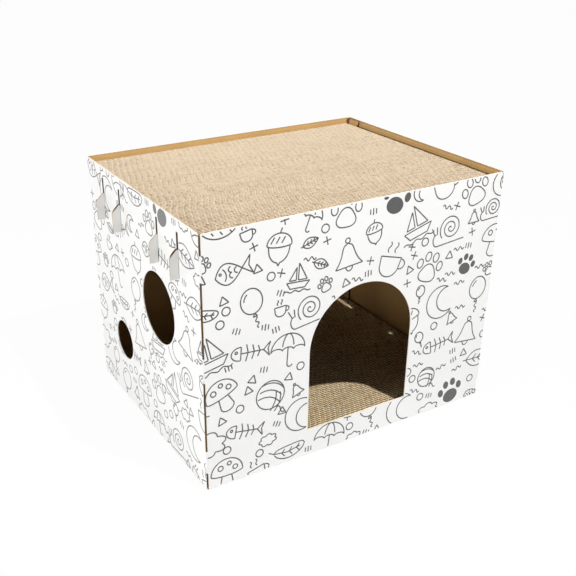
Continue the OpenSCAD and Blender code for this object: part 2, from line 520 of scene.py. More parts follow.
def thicken(piece, thickness, offset, back, rim):
    """Gives a sheet its thickness; back and rim count the materials to its back's and its cut edges' own."""
    mesh = piece.data
    welding = bmesh.new()
    welding.from_mesh(mesh)
    bmesh.ops.remove_doubles(welding, verts=welding.verts, dist=WELD)
    welding.to_mesh(mesh)
    welding.free()
    solid = piece.modifiers.new("Thickness", "SOLIDIFY")
    solid.thickness = thickness
    solid.offset = offset
    solid.material_offset = back
    solid.material_offset_rim = rim


def corrugated(name, board, outline, materials, body, insets=NO_INSETS):
    """A board of three sheets: an outside liner, a medium that waves as a sine, and an inside liner.

    It stands for the frame's node of the same name. insets says how far the outside liner and the two other
    sheets stop short of each end. Beside a crushed edge the two others are pressed towards the first."""
    sizes = settings("board")
    outside, inside, fluted, cut = materials
    outer_inset, inner_inset = insets
    pitch = sizes.flute_pitch
    slopes = outline.press * PRESS_STEPS

    def flat(along, up):
        """The outside liner's depth."""
        return np.zeros_like(up)

    def pressed(along, up, free, least):
        """A sheet's free depth, drawn in to its least where the board is crushed, along a cosine."""
        share = (1 - np.cos(np.pi * outline.crush(along, up))) / 2
        return free + share * (least - free)

    def backing(along, up):
        """The inside liner's depth."""
        return pressed(along, up, BOARD - sizes.liner, sizes.liner + sizes.medium)

    def wave(along, up):
        """The medium's depth."""
        swing = (BOARD - sizes.medium) / 2 - sizes.liner
        free = BOARD / 2 + swing * np.sin(FULL_TURN * along / pitch)
        return pressed(along, up, free, sizes.liner + sizes.medium / 2)

    def layer(part, depth, inset, spacing, margins, papers, replaces=()):
        """One of the sheets, still without its thickness."""
        start, end = outline.start + inset[0], outline.end - inset[1]
        along = board_columns(outline, spacing, start, end, margins)
        mesh = quad_mesh(name, *sheet(board, outline, along, depth, margins))
        return new_piece(f"{name}_{part}", mesh, papers, body, replaces)

    outer = layer("outer_liner", flat, outer_inset, pitch, (), [outside, fluted, cut], [name])
    thicken(outer, sizes.liner, offset=-1, back=1, rim=2)
    inner = layer("inner_liner", backing, inner_inset, pitch, slopes, [fluted, inside, cut])
    thicken(inner, sizes.liner, offset=-1, back=1, rim=2)
    flutes = layer("flutes", wave, inner_inset, pitch / FLUTE_STEPS, slopes, [fluted, cut])
    thicken(flutes, sizes.medium, offset=0, back=0, rim=1)


def crease_core(name, middle, half, paper):
    """Raw core in a fold: a rectangle about its middle, carried straight up from the ground to the rim."""
    stations = np.array([0, HEIGHT])
    path = np.array([*middle, 0]) + stations[:, None] * np.array([0, 0, 1])
    side = np.tile([half[0], 0, 0], (len(stations), 1))
    back = np.tile([0, half[1], 0], (len(stations), 1))
    bar = bar_corners(path, side, -back, back)
    mesh = quad_mesh(name, bar.reshape(-1, 3), bar_quads(unbroken(1, len(stations))))
    new_piece(f"{name}_crease_core", mesh, [paper], "sleeve")


# Materials

class Nodes:
    """The node tree of a material or a world, with short ways to add a node and to feed a socket."""

    def __init__(self, owner):
        owner.use_nodes = True
        self.tree = owner.node_tree

    def node(self, kind, inputs=None, **choices):
        """A new node with its choices made and its sockets fed."""
        made = self.tree.nodes.new(kind)
        for choice, value in choices.items():
            setattr(made, choice, value)
        for socket, value in (inputs or {}).items():
            self.feed(made.inputs[socket], value)
        return made

    def feed(self, socket, value):
        """Links a socket to another, or sets its value."""
        if isinstance(value, NodeSocket):
            self.tree.links.new(value, socket)
        else:
            socket.default_value = value

    def math(self, operation, *values):
        """A number worked out from others."""
        return self.node("ShaderNodeMath", dict(enumerate(values)), operation=operation).outputs[0]

    def seen(self):
        """One on a ray from the camera, from a reflection or through glass, and nothing on other rays."""
        rays = self.node("ShaderNodeLightPath").outputs
        either = self.math("MAXIMUM", rays["Is Camera Ray"], rays["Is Glossy Ray"])
        return self.math("MAXIMUM", either, rays["Is Transmission Ray"])

    def blend(self, output, share, first, second):
        """Feeds an output with one shader turning into another."""
        mixed = self.node("ShaderNodeMixShader", {0: share, 1: first, 2: second})
        self.feed(self.tree.nodes[output].inputs["Surface"], mixed.outputs[0])


class Recipe(Nodes):
    """A material's nodes, with short ways to its patterns and its finish."""

    def __init__(self, name):
        self.material = bpy.data.materials.new(name)
        super().__init__(self.material)
        self.shader = self.tree.nodes["Principled BSDF"]
        self.place = self.node("ShaderNodeTexCoord").outputs["Object"]

    def axes(self):
        """Object coordinates, one by one."""
        return self.node("ShaderNodeSeparateXYZ", {"Vector": self.place}).outputs

    def stretched(self, scale):
        """Object coordinates, scaled along each axis."""
        return self.node("ShaderNodeMapping", {"Vector": self.place, "Scale": scale}).outputs["Vector"]

    def noise(self, scale, detail=2, place=None):
        """A noise value, with its scale in cycles per metre."""
        inputs = {"Vector": place or self.place, "Scale": scale, "Detail": detail}
        return self.node("ShaderNodeTexNoise", inputs).outputs["Fac"]

    def ramp(self, value, low, high, start=0.0, end=1.0):
        """A value carried from one range to another, held at both ends."""
        inputs = {"Value": value, "From Min": low, "From Max": high, "To Min": start, "To Max": end}
        return self.node("ShaderNodeMapRange", inputs).outputs["Result"]

    def patches(self, scale, detail, start=0.0, end=1.0):
        """Noise that is spread over a whole range."""
        return self.ramp(self.noise(scale, detail), *NOISE_RANGE, start, end)

    def mix(self, factor, first, second):
        """One colour turning into another."""
        made = self.node("ShaderNodeMix", data_type="RGBA")
        self.feed(made.inputs["Factor"], factor)
        self.feed(made.inputs["A"], first if isinstance(first, NodeSocket) else (*first, 1))
        self.feed(made.inputs["B"], second if isinstance(second, NodeSocket) else (*second, 1))
        return made.outputs["Result"]

    def tones(self, factor, tone, low, high):
        """A colour that runs from one share of its brightness to another."""
        return self.mix(factor, shade(tone, low), shade(tone, high))

    def lacquer(self, weight):
        """Lays a clear coat over the material."""
        coat = {"Coat Weight": weight, "Coat Roughness": COAT_ROUGHNESS, "Coat IOR": COAT_INDEX}
        for socket, value in coat.items():
            self.feed(self.shader.inputs[socket], value)

    def finish(self, base, roughness, bump=None, strength=RAW_BUMP):
        """Feeds the shader with a base colour, a roughness and a bump."""
        self.feed(self.shader.inputs["Base Color"], base)
        self.feed(self.shader.inputs["Roughness"], roughness)
        if bump:
            inputs = {"Height": bump, "Strength": strength, "Distance": BUMP_DEPTH}
            self.feed(self.shader.inputs["Normal"], self.node("ShaderNodeBump", inputs).outputs["Normal"])
        return self.material

    def raw_finish(self, base, grain, smoothest):
        """Finishes paper that has no coat: its roughness and its bump follow its grain."""
        return self.finish(base, self.ramp(grain, *NOISE_RANGE, smoothest, smoothest + RAW_SPREAD), grain)


def shade(tone, share):
    """A colour made lighter or darker by a share."""
    return tuple(min(1.0, channel * share) for channel in tone)


def coated_white(name, tone, roughness, coat):
    """White paper: faint clouding, a fine tooth and some of a clear coat."""
    recipe = Recipe(name)
    base = recipe.tones(recipe.patches(scale=14, detail=3), tone, low=0.98, high=1.01)
    sheen = recipe.patches(scale=60, detail=2, start=roughness - SHEEN_SPREAD,
                           end=roughness + SHEEN_SPREAD)
    recipe.lacquer(coat)
    return recipe.finish(base, sheen, bump=recipe.noise(scale=2200), strength=0.12)


def kraft_paper(name, tone):
    """Brown paper: soft clouds, long level fibres and pale specks."""
    recipe = Recipe(name)
    fibres = recipe.noise(scale=1, detail=4, place=recipe.stretched((260, 260, 1500)))
    dark_fibres = recipe.ramp(fibres, low=0.35, high=0.65, end=0.5)
    specks = recipe.ramp(recipe.noise(scale=1400, detail=1), low=0.66, high=0.74, end=0.5)
    base = recipe.tones(recipe.patches(scale=22, detail=3), tone, low=0.9, high=1.08)
    base = recipe.mix(dark_fibres, base, shade(tone, 0.78))
    base = recipe.mix(specks, base, shade(tone, 1.45))
    return recipe.raw_finish(base, fibres, smoothest=0.75)


def strip_side(name, tone, edge, box, painted_shade_start):
    """Paper of a strip's upright sides: pale like its cut just below the edge, and deeper down a painted
    shade, brown with a fine grain, that stands for the shade inside the cells.

    The pale reaches deeper from front to back, so less of the painted shade shows at the back, and its depth
    strays in patches."""
    recipe = Recipe(name)
    low, high = box
    place = recipe.axes()
    growth = recipe.ramp(place["Y"], low.y, high.y, *settings("pads").painted_shade_growth)
    least, most = (-share * painted_shade_start for share in PAINTED_SHADE_STRAY)
    reach = recipe.patches(scale=45, detail=3, start=least, end=most)
    foot = recipe.math("MULTIPLY_ADD", growth, reach, high.z)
    unshaded = recipe.ramp(place["Z"], foot, high.z - UNSHADED_TOP)
    grain = recipe.noise(scale=700, detail=3)
    # Below the pale band the side takes the dark tone: painted shade for the depth of the cells
    base = recipe.mix(unshaded, recipe.tones(grain, tone, low=0.75, high=1.15), edge)
    return recipe.raw_finish(base, grain, smoothest=0.8)


def strip_edge(name, tone):
    """Paper of a strip's cut edge: pale and fibrous, in faint patches, each strip a little its own."""
    recipe = Recipe(name)
    own = recipe.node("ShaderNodeAttribute", attribute_name="tone").outputs["Fac"]
    patches = recipe.ramp(recipe.noise(scale=18, detail=3), low=0.35, high=0.7, end=0.35)
    base = recipe.mix(patches, recipe.tones(own, tone, low=0.98, high=1.02), shade(tone, 0.9))
    return recipe.raw_finish(base, recipe.noise(scale=700, detail=3), smoothest=0.8)


def printing_ink(name, tone):
    """Ink that lies a little unevenly on the coat."""
    recipe = Recipe(name)
    cover = recipe.ramp(recipe.noise(scale=350, detail=3), low=0.35, high=0.7)
    sheen = recipe.ramp(cover, low=0, high=1, start=0.3, end=0.42)
    recipe.lacquer(weight=1)
    return recipe.finish(recipe.tones(cover, tone, low=1, high=1.6), sheen)


def pale_floor(name, tone, glow, covered):
    """A pale floor with the object's shadow on it, seen nearly white except where the house covers it.

    The cover is given as half a width and half a depth."""
    recipe = Recipe(name)
    recipe.finish(recipe.tones(recipe.patches(scale=3, detail=2), tone, low=0.99, high=1), roughness=0.9)
    place = recipe.axes()
    reaches = [recipe.math("ABSOLUTE", place[axis]) for axis in "XY"]
    shares = [recipe.ramp(reach, half - BOARD, half, 0, glow) for reach, half in zip(reaches, covered)]
    share = recipe.math("MULTIPLY", recipe.seen(), recipe.math("MAXIMUM", *shares))
    white = recipe.node("ShaderNodeEmission", {"Strength": 1})
    recipe.blend("Material Output", share, recipe.shader.outputs[0], white.outputs[0])
    return recipe.material


# The print

def arc(centre, radii, first, last, steps=24):
    """Points of a circle or an ellipse from one angle to another, in degrees."""
    turn = np.radians(np.linspace(first, last, steps + 1))
    return np.array(centre) + np.broadcast_to(radii, 2) * np.stack([np.cos(turn), np.sin(turn)], axis=1)


def ring(x, y, radius, height=None):
    """A closed ellipse."""
    return arc((x, y), (radius, height or radius), 0, 360)


def line(*parts):
    """A line through points and curves, straight from one to the next."""
    return np.concatenate([np.atleast_2d(part) for part in parts], dtype=float)


def ripple(start, end, swing, waves):
    """A line that sways as a sine."""
    share = np.linspace(0, 1, WAVE_STEPS * waves + 1)[:, None]
    start, run = np.array(start), np.subtract(end, start)
    across = np.array([-run[1], run[0]]) / np.hypot(*run)
    return start + share * run + swing * np.sin(FULL_TURN * waves * share) * across


def spot(x, y, radius, height=None, turns=4):
    """A filled ellipse, drawn as a pen fills it, by a spiral that ends on the rim."""
    turn = np.linspace(0, FULL_TURN * (turns + 1), SPIRAL_STEPS * (turns + 1))
    reach = np.minimum(turn / (FULL_TURN * turns), 1)
    return np.stack([x + radius * reach * np.cos(turn),
                     y + (height or radius) * reach * np.sin(turn)], axis=1)


def lens(half_length, half_height, lean=0.0):
    """A pointed oval: its two sides are parabolas, fuller towards one end by the lean."""
    x = np.linspace(-1, 1, 17)
    side = half_height * (1 - x ** 2) * (1 - lean * x)
    upper = np.stack([half_length * x, side], axis=1)
    return np.concatenate([upper, upper[-2::-1] * (1, -1)])


def fish():
    """A fish with a forked tail, a gill and three scales."""
    tail = line((0.52, 0.0), (0.98, 0.42), (0.84, 0.0), (0.98, -0.42), (0.52, 0.0))
    scales = [arc((x, y), 0.13, 90, 270, 8) for x, y in ((0.05, 0.14), (0.05, -0.12), (0.3, 0.02))]
    return [lens(0.62, 0.46, 0.3) - (0.1, 0), tail, ring(-0.47, 0.1, 0.05),
            arc((-0.48, 0), (0.26, 0.34), -55, 55, 10), *scales]


def paw():
    """A paw print: a broad pad under four toes."""
    toes = [ring(x, y, 0.17, 0.23) for x, y in ((-0.62, 0.12), (-0.24, 0.5), (0.24, 0.5), (0.62, 0.12))]
    turn = np.linspace(0, FULL_TURN, 33)
    reach = 0.44 * (1 + 0.1 * np.cos(3 * (turn - np.pi / 2)))
    return [np.stack([reach * 1.12 * np.cos(turn), reach * np.sin(turn) - 0.32], axis=1), *toes]


def dark_paw():
    """A filled paw print."""
    toes = [spot(x, y, 0.14, 0.2, 5) for x, y in ((-0.6, 0.12), (-0.23, 0.48), (0.23, 0.48), (0.6, 0.12))]
    return [spot(0, -0.3, 0.44, 0.36, 10), *toes]


def yarn_ball():
    """A ball of yarn: windings across a circle, and a loose end."""
    windings = [arc((0, -1.1 + shift), 1.1, 55, 125, 12) * (0.92, 1) for shift in (-0.1, 0.25, 0.6)]
    crossing = [arc((-1.2, 0), (1.2 + reach, 1.2), -24, 24, 8) + (0.35, -0.3) for reach in (0.0, 0.25)]
    return [ring(0, 0, 0.72), *windings, *crossing, ripple((0.5, -0.55), (1.05, -0.78), 0.08, 1)]


def leaf():
    """A leaf with its rib and veins."""
    veins = [line((x, 0), (x + 0.22, side * 0.24)) for x in (-0.4, -0.05, 0.3) for side in (-1, 1)]
    return [lens(0.85, 0.46, 0.25), line((-1.05, 0), (0.75, 0)), *veins]


def cloud():
    """A cloud whose edge swells seven times round an oval."""
    turn = np.linspace(0, FULL_TURN, 71)
    reach = 0.66 + 0.22 * np.abs(np.sin(3.5 * turn))
    return [np.stack([1.12 * reach * np.cos(turn), 0.74 * reach * np.sin(turn)], axis=1)]


def crescent():
    """A crescent between two circles that meet at its tips."""
    radius, tip, shift = 0.85, 48, 0.42
    x, y = radius * np.cos(np.radians(tip)) - shift, radius * np.sin(np.radians(tip))
    inner, turn = np.hypot(x, y), np.degrees(np.arctan2(y, x))
    return [line(arc((0, 0), radius, tip, 360 - tip, 30), arc((shift, 0), inner, 360 - turn, turn, 20))]


def mushroom():
    """A mushroom with a spotted cap."""
    cap = line(arc((0, 0.05), (0.8, 0.75), 0, 180), arc((0, 0.05), (0.8, 0.16), 180, 360))
    stem = line((-0.24, -0.1), arc((0, -0.62), (0.33, 0.24), 180, 360, 12), (0.24, -0.1))
    return [cap, stem, ring(-0.32, 0.36, 0.13), ring(0.12, 0.52, 0.1), ring(0.42, 0.24, 0.12)]


def balloon():
    """A balloon on a swaying string."""
    knot = line((0, -0.32), (-0.1, -0.47), (0.1, -0.47), (0, -0.32))
    shine = arc((0, 0.28), (0.36, 0.42), 110, 165, 8)
    return [ring(0, 0.28, 0.52, 0.6), knot, shine, ripple((0, -0.47), (0.05, -1.05), 0.07, 2)]


def cup():
    """A steaming cup with a handle."""
    bowl = line((-0.6, 0.25), arc((0, -0.2), (0.55, 0.5), 190, 350, 16), (0.6, 0.25), (-0.6, 0.25))
    steam = [ripple((x, 0.45), (x, 0.95), 0.07, 1) for x in (-0.25, 0.15)]
    return [bowl, arc((0.58, -0.05), (0.3, 0.24), -100, 80, 14), *steam]


def bell():
    """A small bell with a ring on top and a clapper."""
    y = np.linspace(0, 1, 13)
    side = 0.3 + 0.42 * (1 - y) ** 2.5
    right = np.stack([side * np.sqrt(np.clip(1 - y ** 6, 0, 1)), 1.1 * y - 0.45], axis=1)
    skirt = line(right, right[::-1] * (-1, 1), right[:1])
    return [skirt, ring(0, 0.78, 0.12), arc((0, -0.45), (0.18, 0.22), 180, 360, 10)]


def fish_bone():
    """A fish bone: a spine with ribs, a head and a tail."""
    ribs = [line((x, size), (x + 0.1, 0), (x, -size)) for x, size in ((-0.2, 0.4), (0.1, 0.34), (0.38, 0.26))]
    head = line((-0.45, 0.32), arc((-0.5, 0), (0.42, 0.32), 90, 270, 12), (-0.45, -0.32), (-0.45, 0.32))
    tail = line((0.66, 0), (0.98, 0.34), (0.88, 0), (0.98, -0.34), (0.66, 0))
    return [head, line((-0.45, 0), (0.66, 0)), tail, ring(-0.68, 0.08, 0.06), *ribs]


def snail():
    """A snail under a spiral shell."""
    turn = np.linspace(0, 2.6 * FULL_TURN, 60)
    shell = np.stack([0.04 * turn * np.cos(turn) + 0.1, 0.04 * turn * np.sin(turn) + 0.12], axis=1)
    foot = line((0.9, -0.6), (-0.75, -0.6), arc((-0.75, -0.3), (0.2, 0.3), 270, 90, 10))
    return [shell, foot, line((-0.85, -0.02), (-1.0, 0.35)), line((-0.7, -0.02), (-0.7, 0.36))]


def feather():
    """A feather: a bent quill with a vane on both sides."""
    bend = 0.22
    x = np.linspace(-0.7, 0.95, 19)
    reach = 0.34 * np.sqrt(np.clip(1 - ((x - 0.12) / 0.83) ** 2, 0, 1))
    upper, lower = (np.stack([x, bend * x ** 2 + side * reach], axis=1) for side in (1, -1))
    barbs = [line((x, bend * x ** 2), (x + 0.16, bend * x ** 2 + side * 0.2))
             for x in (-0.3, 0.1, 0.5) for side in (-1, 1)]
    return [line(upper, lower[::-1]), line((-1.0, 0.3), (-0.7, 0.12), (0, 0), (0.7, 0.11)), *barbs]


def acorn():
    """An acorn in a hatched cup."""
    cup_edge = line(arc((0, 0.12), (0.6, 0.5), 0, 180, 18), arc((0, 0.12), (0.6, 0.12), 180, 360, 14))
    left, right = (arc((0, -0.05), (0.5, 0.62), *turn, 10) for turn in ((190, 262), (278, 350)))
    nut = line((-0.52, 0.05), left, (0, -0.82), right, (0.52, 0.05))
    hatch = [line((x, 0.18), (x + 0.16, 0.46)) for x in (-0.42, -0.16, 0.1)]
    return [cup_edge, nut, line((0, 0.62), (0.08, 0.85)), *hatch]


def umbrella():
    """An open umbrella with a hooked handle."""
    folds = [arc((x, 0.0), (0.29, 0.14), 180, 0, 8) for x in (-0.58, 0.0, 0.58)]
    ribs = [arc((0, 0), (0.3, 0.8), 90, turn, 10) for turn in (165, 15)]
    handle = line((0, 0.14), arc((0.14, -0.68), (0.14, 0.16), 180, 340, 10))
    return [arc((0, 0), (0.87, 0.8), 0, 180), *folds, *ribs, handle]


def sailing_boat():
    """A boat with two sails on a wave."""
    hull = line((-0.75, -0.3), (0.8, -0.3), (0.5, -0.68), (-0.5, -0.68), (-0.75, -0.3))
    sails = [line((0.02, -0.18), (0.02, 0.85), (0.62, -0.18), (0.02, -0.18)),
             line((-0.12, -0.18), (-0.12, 0.6), (-0.58, -0.18), (-0.12, -0.18))]
    return [hull, *sails, ripple((-0.9, -0.86), (0.9, -0.86), 0.06, 3)]


def plus_mark():
    """Two short crossing lines."""
    return [line((-0.8, 0), (0.8, 0)), line((0, -0.8), (0, 0.8))]


def triangle_mark():
    """A small triangle."""
    return [arc((0, 0), 0.95, 90, 450, 3)]


def wave_mark():
    """A short wavy line."""
    return [ripple((-1.2, 0), (1.2, 0), 0.35, 2)]


def ring_mark():
    """A small ring."""
    return [arc((0, 0), 0.75, 0, 360, 14)]


def dash_mark():
    """Three short lines side by side."""
    return [line((x, -0.6 + 0.2 * abs(x)), (x, 0.6 - 0.2 * abs(x))) for x in (-0.6, 0, 0.6)]


MOTIFS = (fish, yarn_ball, leaf, mushroom, paw, balloon, cup, crescent, bell, snail, fish_bone, cloud,
          feather, acorn, umbrella, sailing_boat, dark_paw)
PLAIN_MOTIFS = (paw, balloon, cup, crescent, bell, cloud, leaf)
MARKS = (ring_mark, plus_mark, triangle_mark, wave_mark, dash_mark)


def resampled(points):
    """A stroke with evenly spaced stations, and stations at the corners of one drawn from a few points."""
    run = np.concatenate([[0], np.cumsum(np.hypot(*np.diff(points, axis=0).T))])
    stations = np.linspace(0, run[-1], max(LEAST_STEPS, int(run[-1] / STROKE_STEP)) + 1)
    if len(points) < FEW_POINTS:
        stations = np.unique(np.concatenate([stations, run]))
    return np.stack([np.interp(stations, run, points[:, axis]) for axis in (0, 1)], axis=1)


def layout(outline, chance):
    """Every stroke on one wall. Drawings of falling size are thrown at chance places and stay where they
    keep clear of all that came before."""
    sizes = settings("artwork")
    kinds = ((MOTIFS, sizes.large, sizes.sparse), (MOTIFS, sizes.middle, 1),
             (PLAIN_MOTIFS, sizes.small, sizes.sparse), (MARKS, sizes.mark, 1))
    places, reaches, strokes = np.empty((0, 2)), np.empty(0), []
    for designs, size, share in kinds:
        deck = []
        throws = int(share * sizes.throws)
        for place in chance.uniform((outline.start, 0), (outline.end, HEIGHT), (throws, 2)):
            if (np.hypot(*(places - place).T) < sizes.crowd * (reaches + size)).any():
                continue
            places = np.vstack([places, place])
            reaches = np.append(reaches, size)
            deck = deck or list(chance.permutation(len(designs)))
            turn = chance.uniform(-MOTIF_TURN, MOTIF_TURN)
            spin = size * np.array([[np.cos(turn), np.sin(turn)], [-np.sin(turn), np.cos(turn)]])
            strokes += [place + stroke @ spin for stroke in designs[deck.pop()]()]
    return strokes


def ink_on(board, outline, strokes):
    """Ribbons of ink: a flat section carried along each stroke, broken where the board ends or is cut out.

    The ink rises along a stroke and differs from one to the next, so strokes that cross share no plane."""
    sizes = settings("artwork")
    half = sizes.line / 2
    places, sides, films, runs = [], [], [], []
    for number, stroke in enumerate(strokes):
        points = resampled(stroke)
        heading = np.gradient(points, axis=0)
        heading /= np.maximum(np.hypot(*heading.T), WELD)[:, None]
        places.append(points)
        sides.append(half * np.stack([-heading[:, 1], heading[:, 0]], axis=1))
        films.append(sizes.film * (1 + number % FILM_STEPS / FILM_STEPS + np.linspace(0, 1, len(points))))
        runs.append(np.arange(len(points)) < len(points) - 1)
    places, sides = np.concatenate(places), np.concatenate(sides)
    films, joined = np.concatenate(films), np.concatenate(runs)
    along, up = places.T
    margin = half + INK_MARGIN
    on_board = (along > outline.start + margin) & (along < outline.end - margin)
    on_board &= (up > margin) & (up < HEIGHT - margin)
    for opening in outline.openings:
        on_board &= opening.distance(along, up) > margin
    joined &= on_board & np.concatenate([on_board[1:], [False]])
    path = board.place(along, up, np.zeros_like(along))
    side = board.place(sides[:, 0], sides[:, 1], np.zeros_like(along)) - np.array(board.origin)
    outward = np.array(board.outward)
    corners = bar_corners(path, side, -sizes.film * outward, films[:, None] * outward)
    return corners.reshape(-1, 3), bar_quads(joined)


# The scratch pads

def pad_stations(low, high, steps):
    """Distances along a pad's strips, with so many stations to a flute."""
    sizes = settings("pads")
    return np.linspace(low.x, high.x, int((high.x - low.x) / sizes.flute_pitch * steps) + 2)


def dents(chance, low, high):
    """Dents of a pad, most of them at the front left: their places, their reach along and across the strips,
    and their depths."""
    sizes = settings("pads")
    share = chance.random((sizes.dents, 2)) ** DENT_CROWDING
    places = np.array([low.x, low.y]) + share * np.array([high.x - low.x, high.y - low.y])
    reaches = chance.uniform(*DENT_REACH, (sizes.dents, 2)) * MM
    return places, reaches, sizes.dent * chance.uniform(*DENT_DEPTH, sizes.dents)


def strip_tops(chance, stations, across, top, dented):
    """Heights of cut edges: each strip stands a little higher or lower, each station strays by chance, and
    a dent sinks them as a bell curve."""
    fray = settings("pads").fray
    shape = (len(across), len(stations))
    strays = chance.normal(0, STRIP_STRAY * fray, (len(across), 1)) + chance.normal(0, fray, shape)
    sunk = np.zeros(shape)
    for place, reach, depth in zip(*dented):
        offset = ((stations - place[0]) / reach[0]) ** 2 + ((across[:, None] - place[1]) / reach[1]) ** 2
        sunk += depth * np.exp(-offset)
    return top + np.clip(strays, -LOWEST_STRAY * fray, fray) - fray - sunk


def pad_bars(stations, across, half_thickness, bottom, tops):
    """Upright sheets: a thin tall section carried along X on a path that strays across as given."""
    x = np.broadcast_to(stations, across.shape)
    slope = np.gradient(across, stations, axis=1)
    run = np.sqrt(1 + slope ** 2)
    zero = np.zeros_like(across)
    path = np.stack([x, across, zero], axis=-1)
    side = half_thickness * np.stack([-slope / run, 1 / run, zero], axis=-1)
    base = np.stack([zero, zero, zero + bottom], axis=-1)
    top = np.stack([zero, zero, tops], axis=-1)
    corners = bar_corners(path, side, base, top)
    return corners.reshape(-1, 3), bar_quads(unbroken(*across.shape))


def colour_strips(piece, tones, points_each):
    """Writes each strip's own shade to its points, and gives the faces that look up the cut edge's paper."""
    mesh = piece.data
    attribute = mesh.attributes.new("tone", "FLOAT", "POINT")
    attribute.data.foreach_set("value", np.repeat(tones, points_each).astype(np.float32))
    normals = np.empty(3 * len(mesh.polygons), np.float32)
    mesh.polygons.foreach_get("normal", normals)
    mesh.polygons.foreach_set("material_index", (normals[2::3] > UPWARD).astype(np.int32))


def strip_papers(name, edge, inside, box, painted_shade_start):
    """The papers of a strip's sheets: of their upright sides, and of their cut edges."""
    return [strip_side(f"{name}_side", inside, edge, box, painted_shade_start), strip_edge(f"{name}_edge", edge)]


def make_pad(node, body, edge, inside, painted_shade_start, drift):
    """A pad: strips on edge, each with two liners and a medium that waves between them as a sine."""
    sizes = settings("pads")
    chance = np.random.default_rng(sizes.seed)
    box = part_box(node)
    low, high = box
    pitch = sizes.strip + sizes.glue
    strips = round((high.y - low.y + sizes.glue) / pitch)
    fronts = low.y + pitch * np.arange(strips)
    tones = chance.random(strips)
    dented = dents(chance, low, high)

    def add_sheets(part, stations, across, thickness, tops, own_tones, papers, replaces=()):
        """Like sheets, as one piece."""
        mesh = quad_mesh(body, *pad_bars(stations, across, thickness / 2, low.z, tops))
        piece = new_piece(f"{body}_{part}", mesh, papers, body, replaces)
        colour_strips(piece, own_tones, 4 * len(stations))

    stations = pad_stations(low, high, LINER_STEPS)
    liners = np.stack([fronts + sizes.liner / 2, fronts + sizes.strip - sizes.liner / 2], axis=1).ravel()
    across = np.broadcast_to(liners[:, None], (2 * strips, len(stations)))
    tops = strip_tops(chance, stations, liners, high.z, dented)
    # The inside tone is a painted shade for the cells' depths; the sides stay pale above it
    papers = strip_papers(f"{body}_liner", edge, inside, box, painted_shade_start)
    add_sheets("liners", stations, across, sizes.liner, tops, np.repeat(tones, 2), papers, [node])

    stations = pad_stations(low, high, sizes.flute_steps)
    middles = fronts + sizes.strip / 2
    swing = (sizes.strip - sizes.medium) / 2 - sizes.liner
    pitches = sizes.flute_pitch * chance.normal(1, PITCH_SPREAD, (strips, 1))
    phases = np.cumsum(chance.normal(drift, sizes.waver, (strips, 1)), axis=0)
    across = middles[:, None] + swing * np.sin(FULL_TURN * stations / pitches + phases)
    tops = strip_tops(chance, stations, middles, high.z, dented)
    edge, inside = shade(edge, sizes.flute_shade), shade(inside, sizes.flute_shade)
    papers = strip_papers(f"{body}_flute", edge, inside, box, painted_shade_start)
    for half, chosen in zip(("front", "back"), np.array_split(np.arange(strips), 2)):
        add_sheets(f"flutes_{half}", stations, across[chosen], sizes.medium, tops[chosen], tones[chosen],
                   papers)


# Operators

class CATHOUSE_OT_walls(Operator):
    """Make the four printed walls of the sleeve as corrugated board"""
    bl_idname = "cat_house.walls"
    bl_label = "Make Walls"

    def execute(self, context):
        sizes = settings("board")
        materials = (coated_white("printed_white", sizes.white, roughness=0.42, coat=1),
                     kraft_paper("kraft_liner", sizes.kraft), kraft_paper("flute_paper", sizes.flute),
                     kraft_paper("cut_paper", sizes.cut))
        for name, (board, outline, folded) in walls().items():
            outer = [sizes.fold_radius * fold for fold in folded]
            inner = [BOARD * fold for fold in folded]
            corrugated(name, board, outline, materials, "sleeve", (outer, inner))
        return {"FINISHED"}


class CATHOUSE_OT_glue_flap(Operator):
    """Make the glue flap inside the back right corner"""
    bl_idname = "cat_house.glue_flap"
    bl_label = "Make Glue Flap"

    def execute(self, context):
        sizes = settings("board")
        board = Board((FLAP_HIGH.x, 0, 0), (0, 1, 0), (0, 0, 1), (1, 0, 0))
        fold = HALF_DEPTH - BOARD
        outline = Outline(FLAP_LOW.y, fold, 0, level(HEIGHT), press=sizes.crush,
                          ends_crushed=(False, True), top_crushed=True)
        kraft = kraft_paper("flap_liner", sizes.kraft)
        # The flap's flutes, cut edges and core wear a painted shade, darker than flute paper, standing for
        # the shade in the fold at the corner
        painted_shade_paper = kraft_paper("flap_flute_painted_shade", sizes.fold_painted_shade)
        corrugated("glue_flap", board, outline, (kraft, kraft, painted_shade_paper, painted_shade_paper), "sleeve")
        # The core fills the half of the crushed stretch that is next to the fold, so that the painted shade
        # shows there as a dark band at the corner
        half = (BOARD / 2 - sizes.liner, sizes.crush / 4)
        middle = (FLAP_HIGH.x - BOARD / 2, fold - half[1])
        crease_core("glue_flap", middle, half, painted_shade_paper)
        return {"FINISHED"}


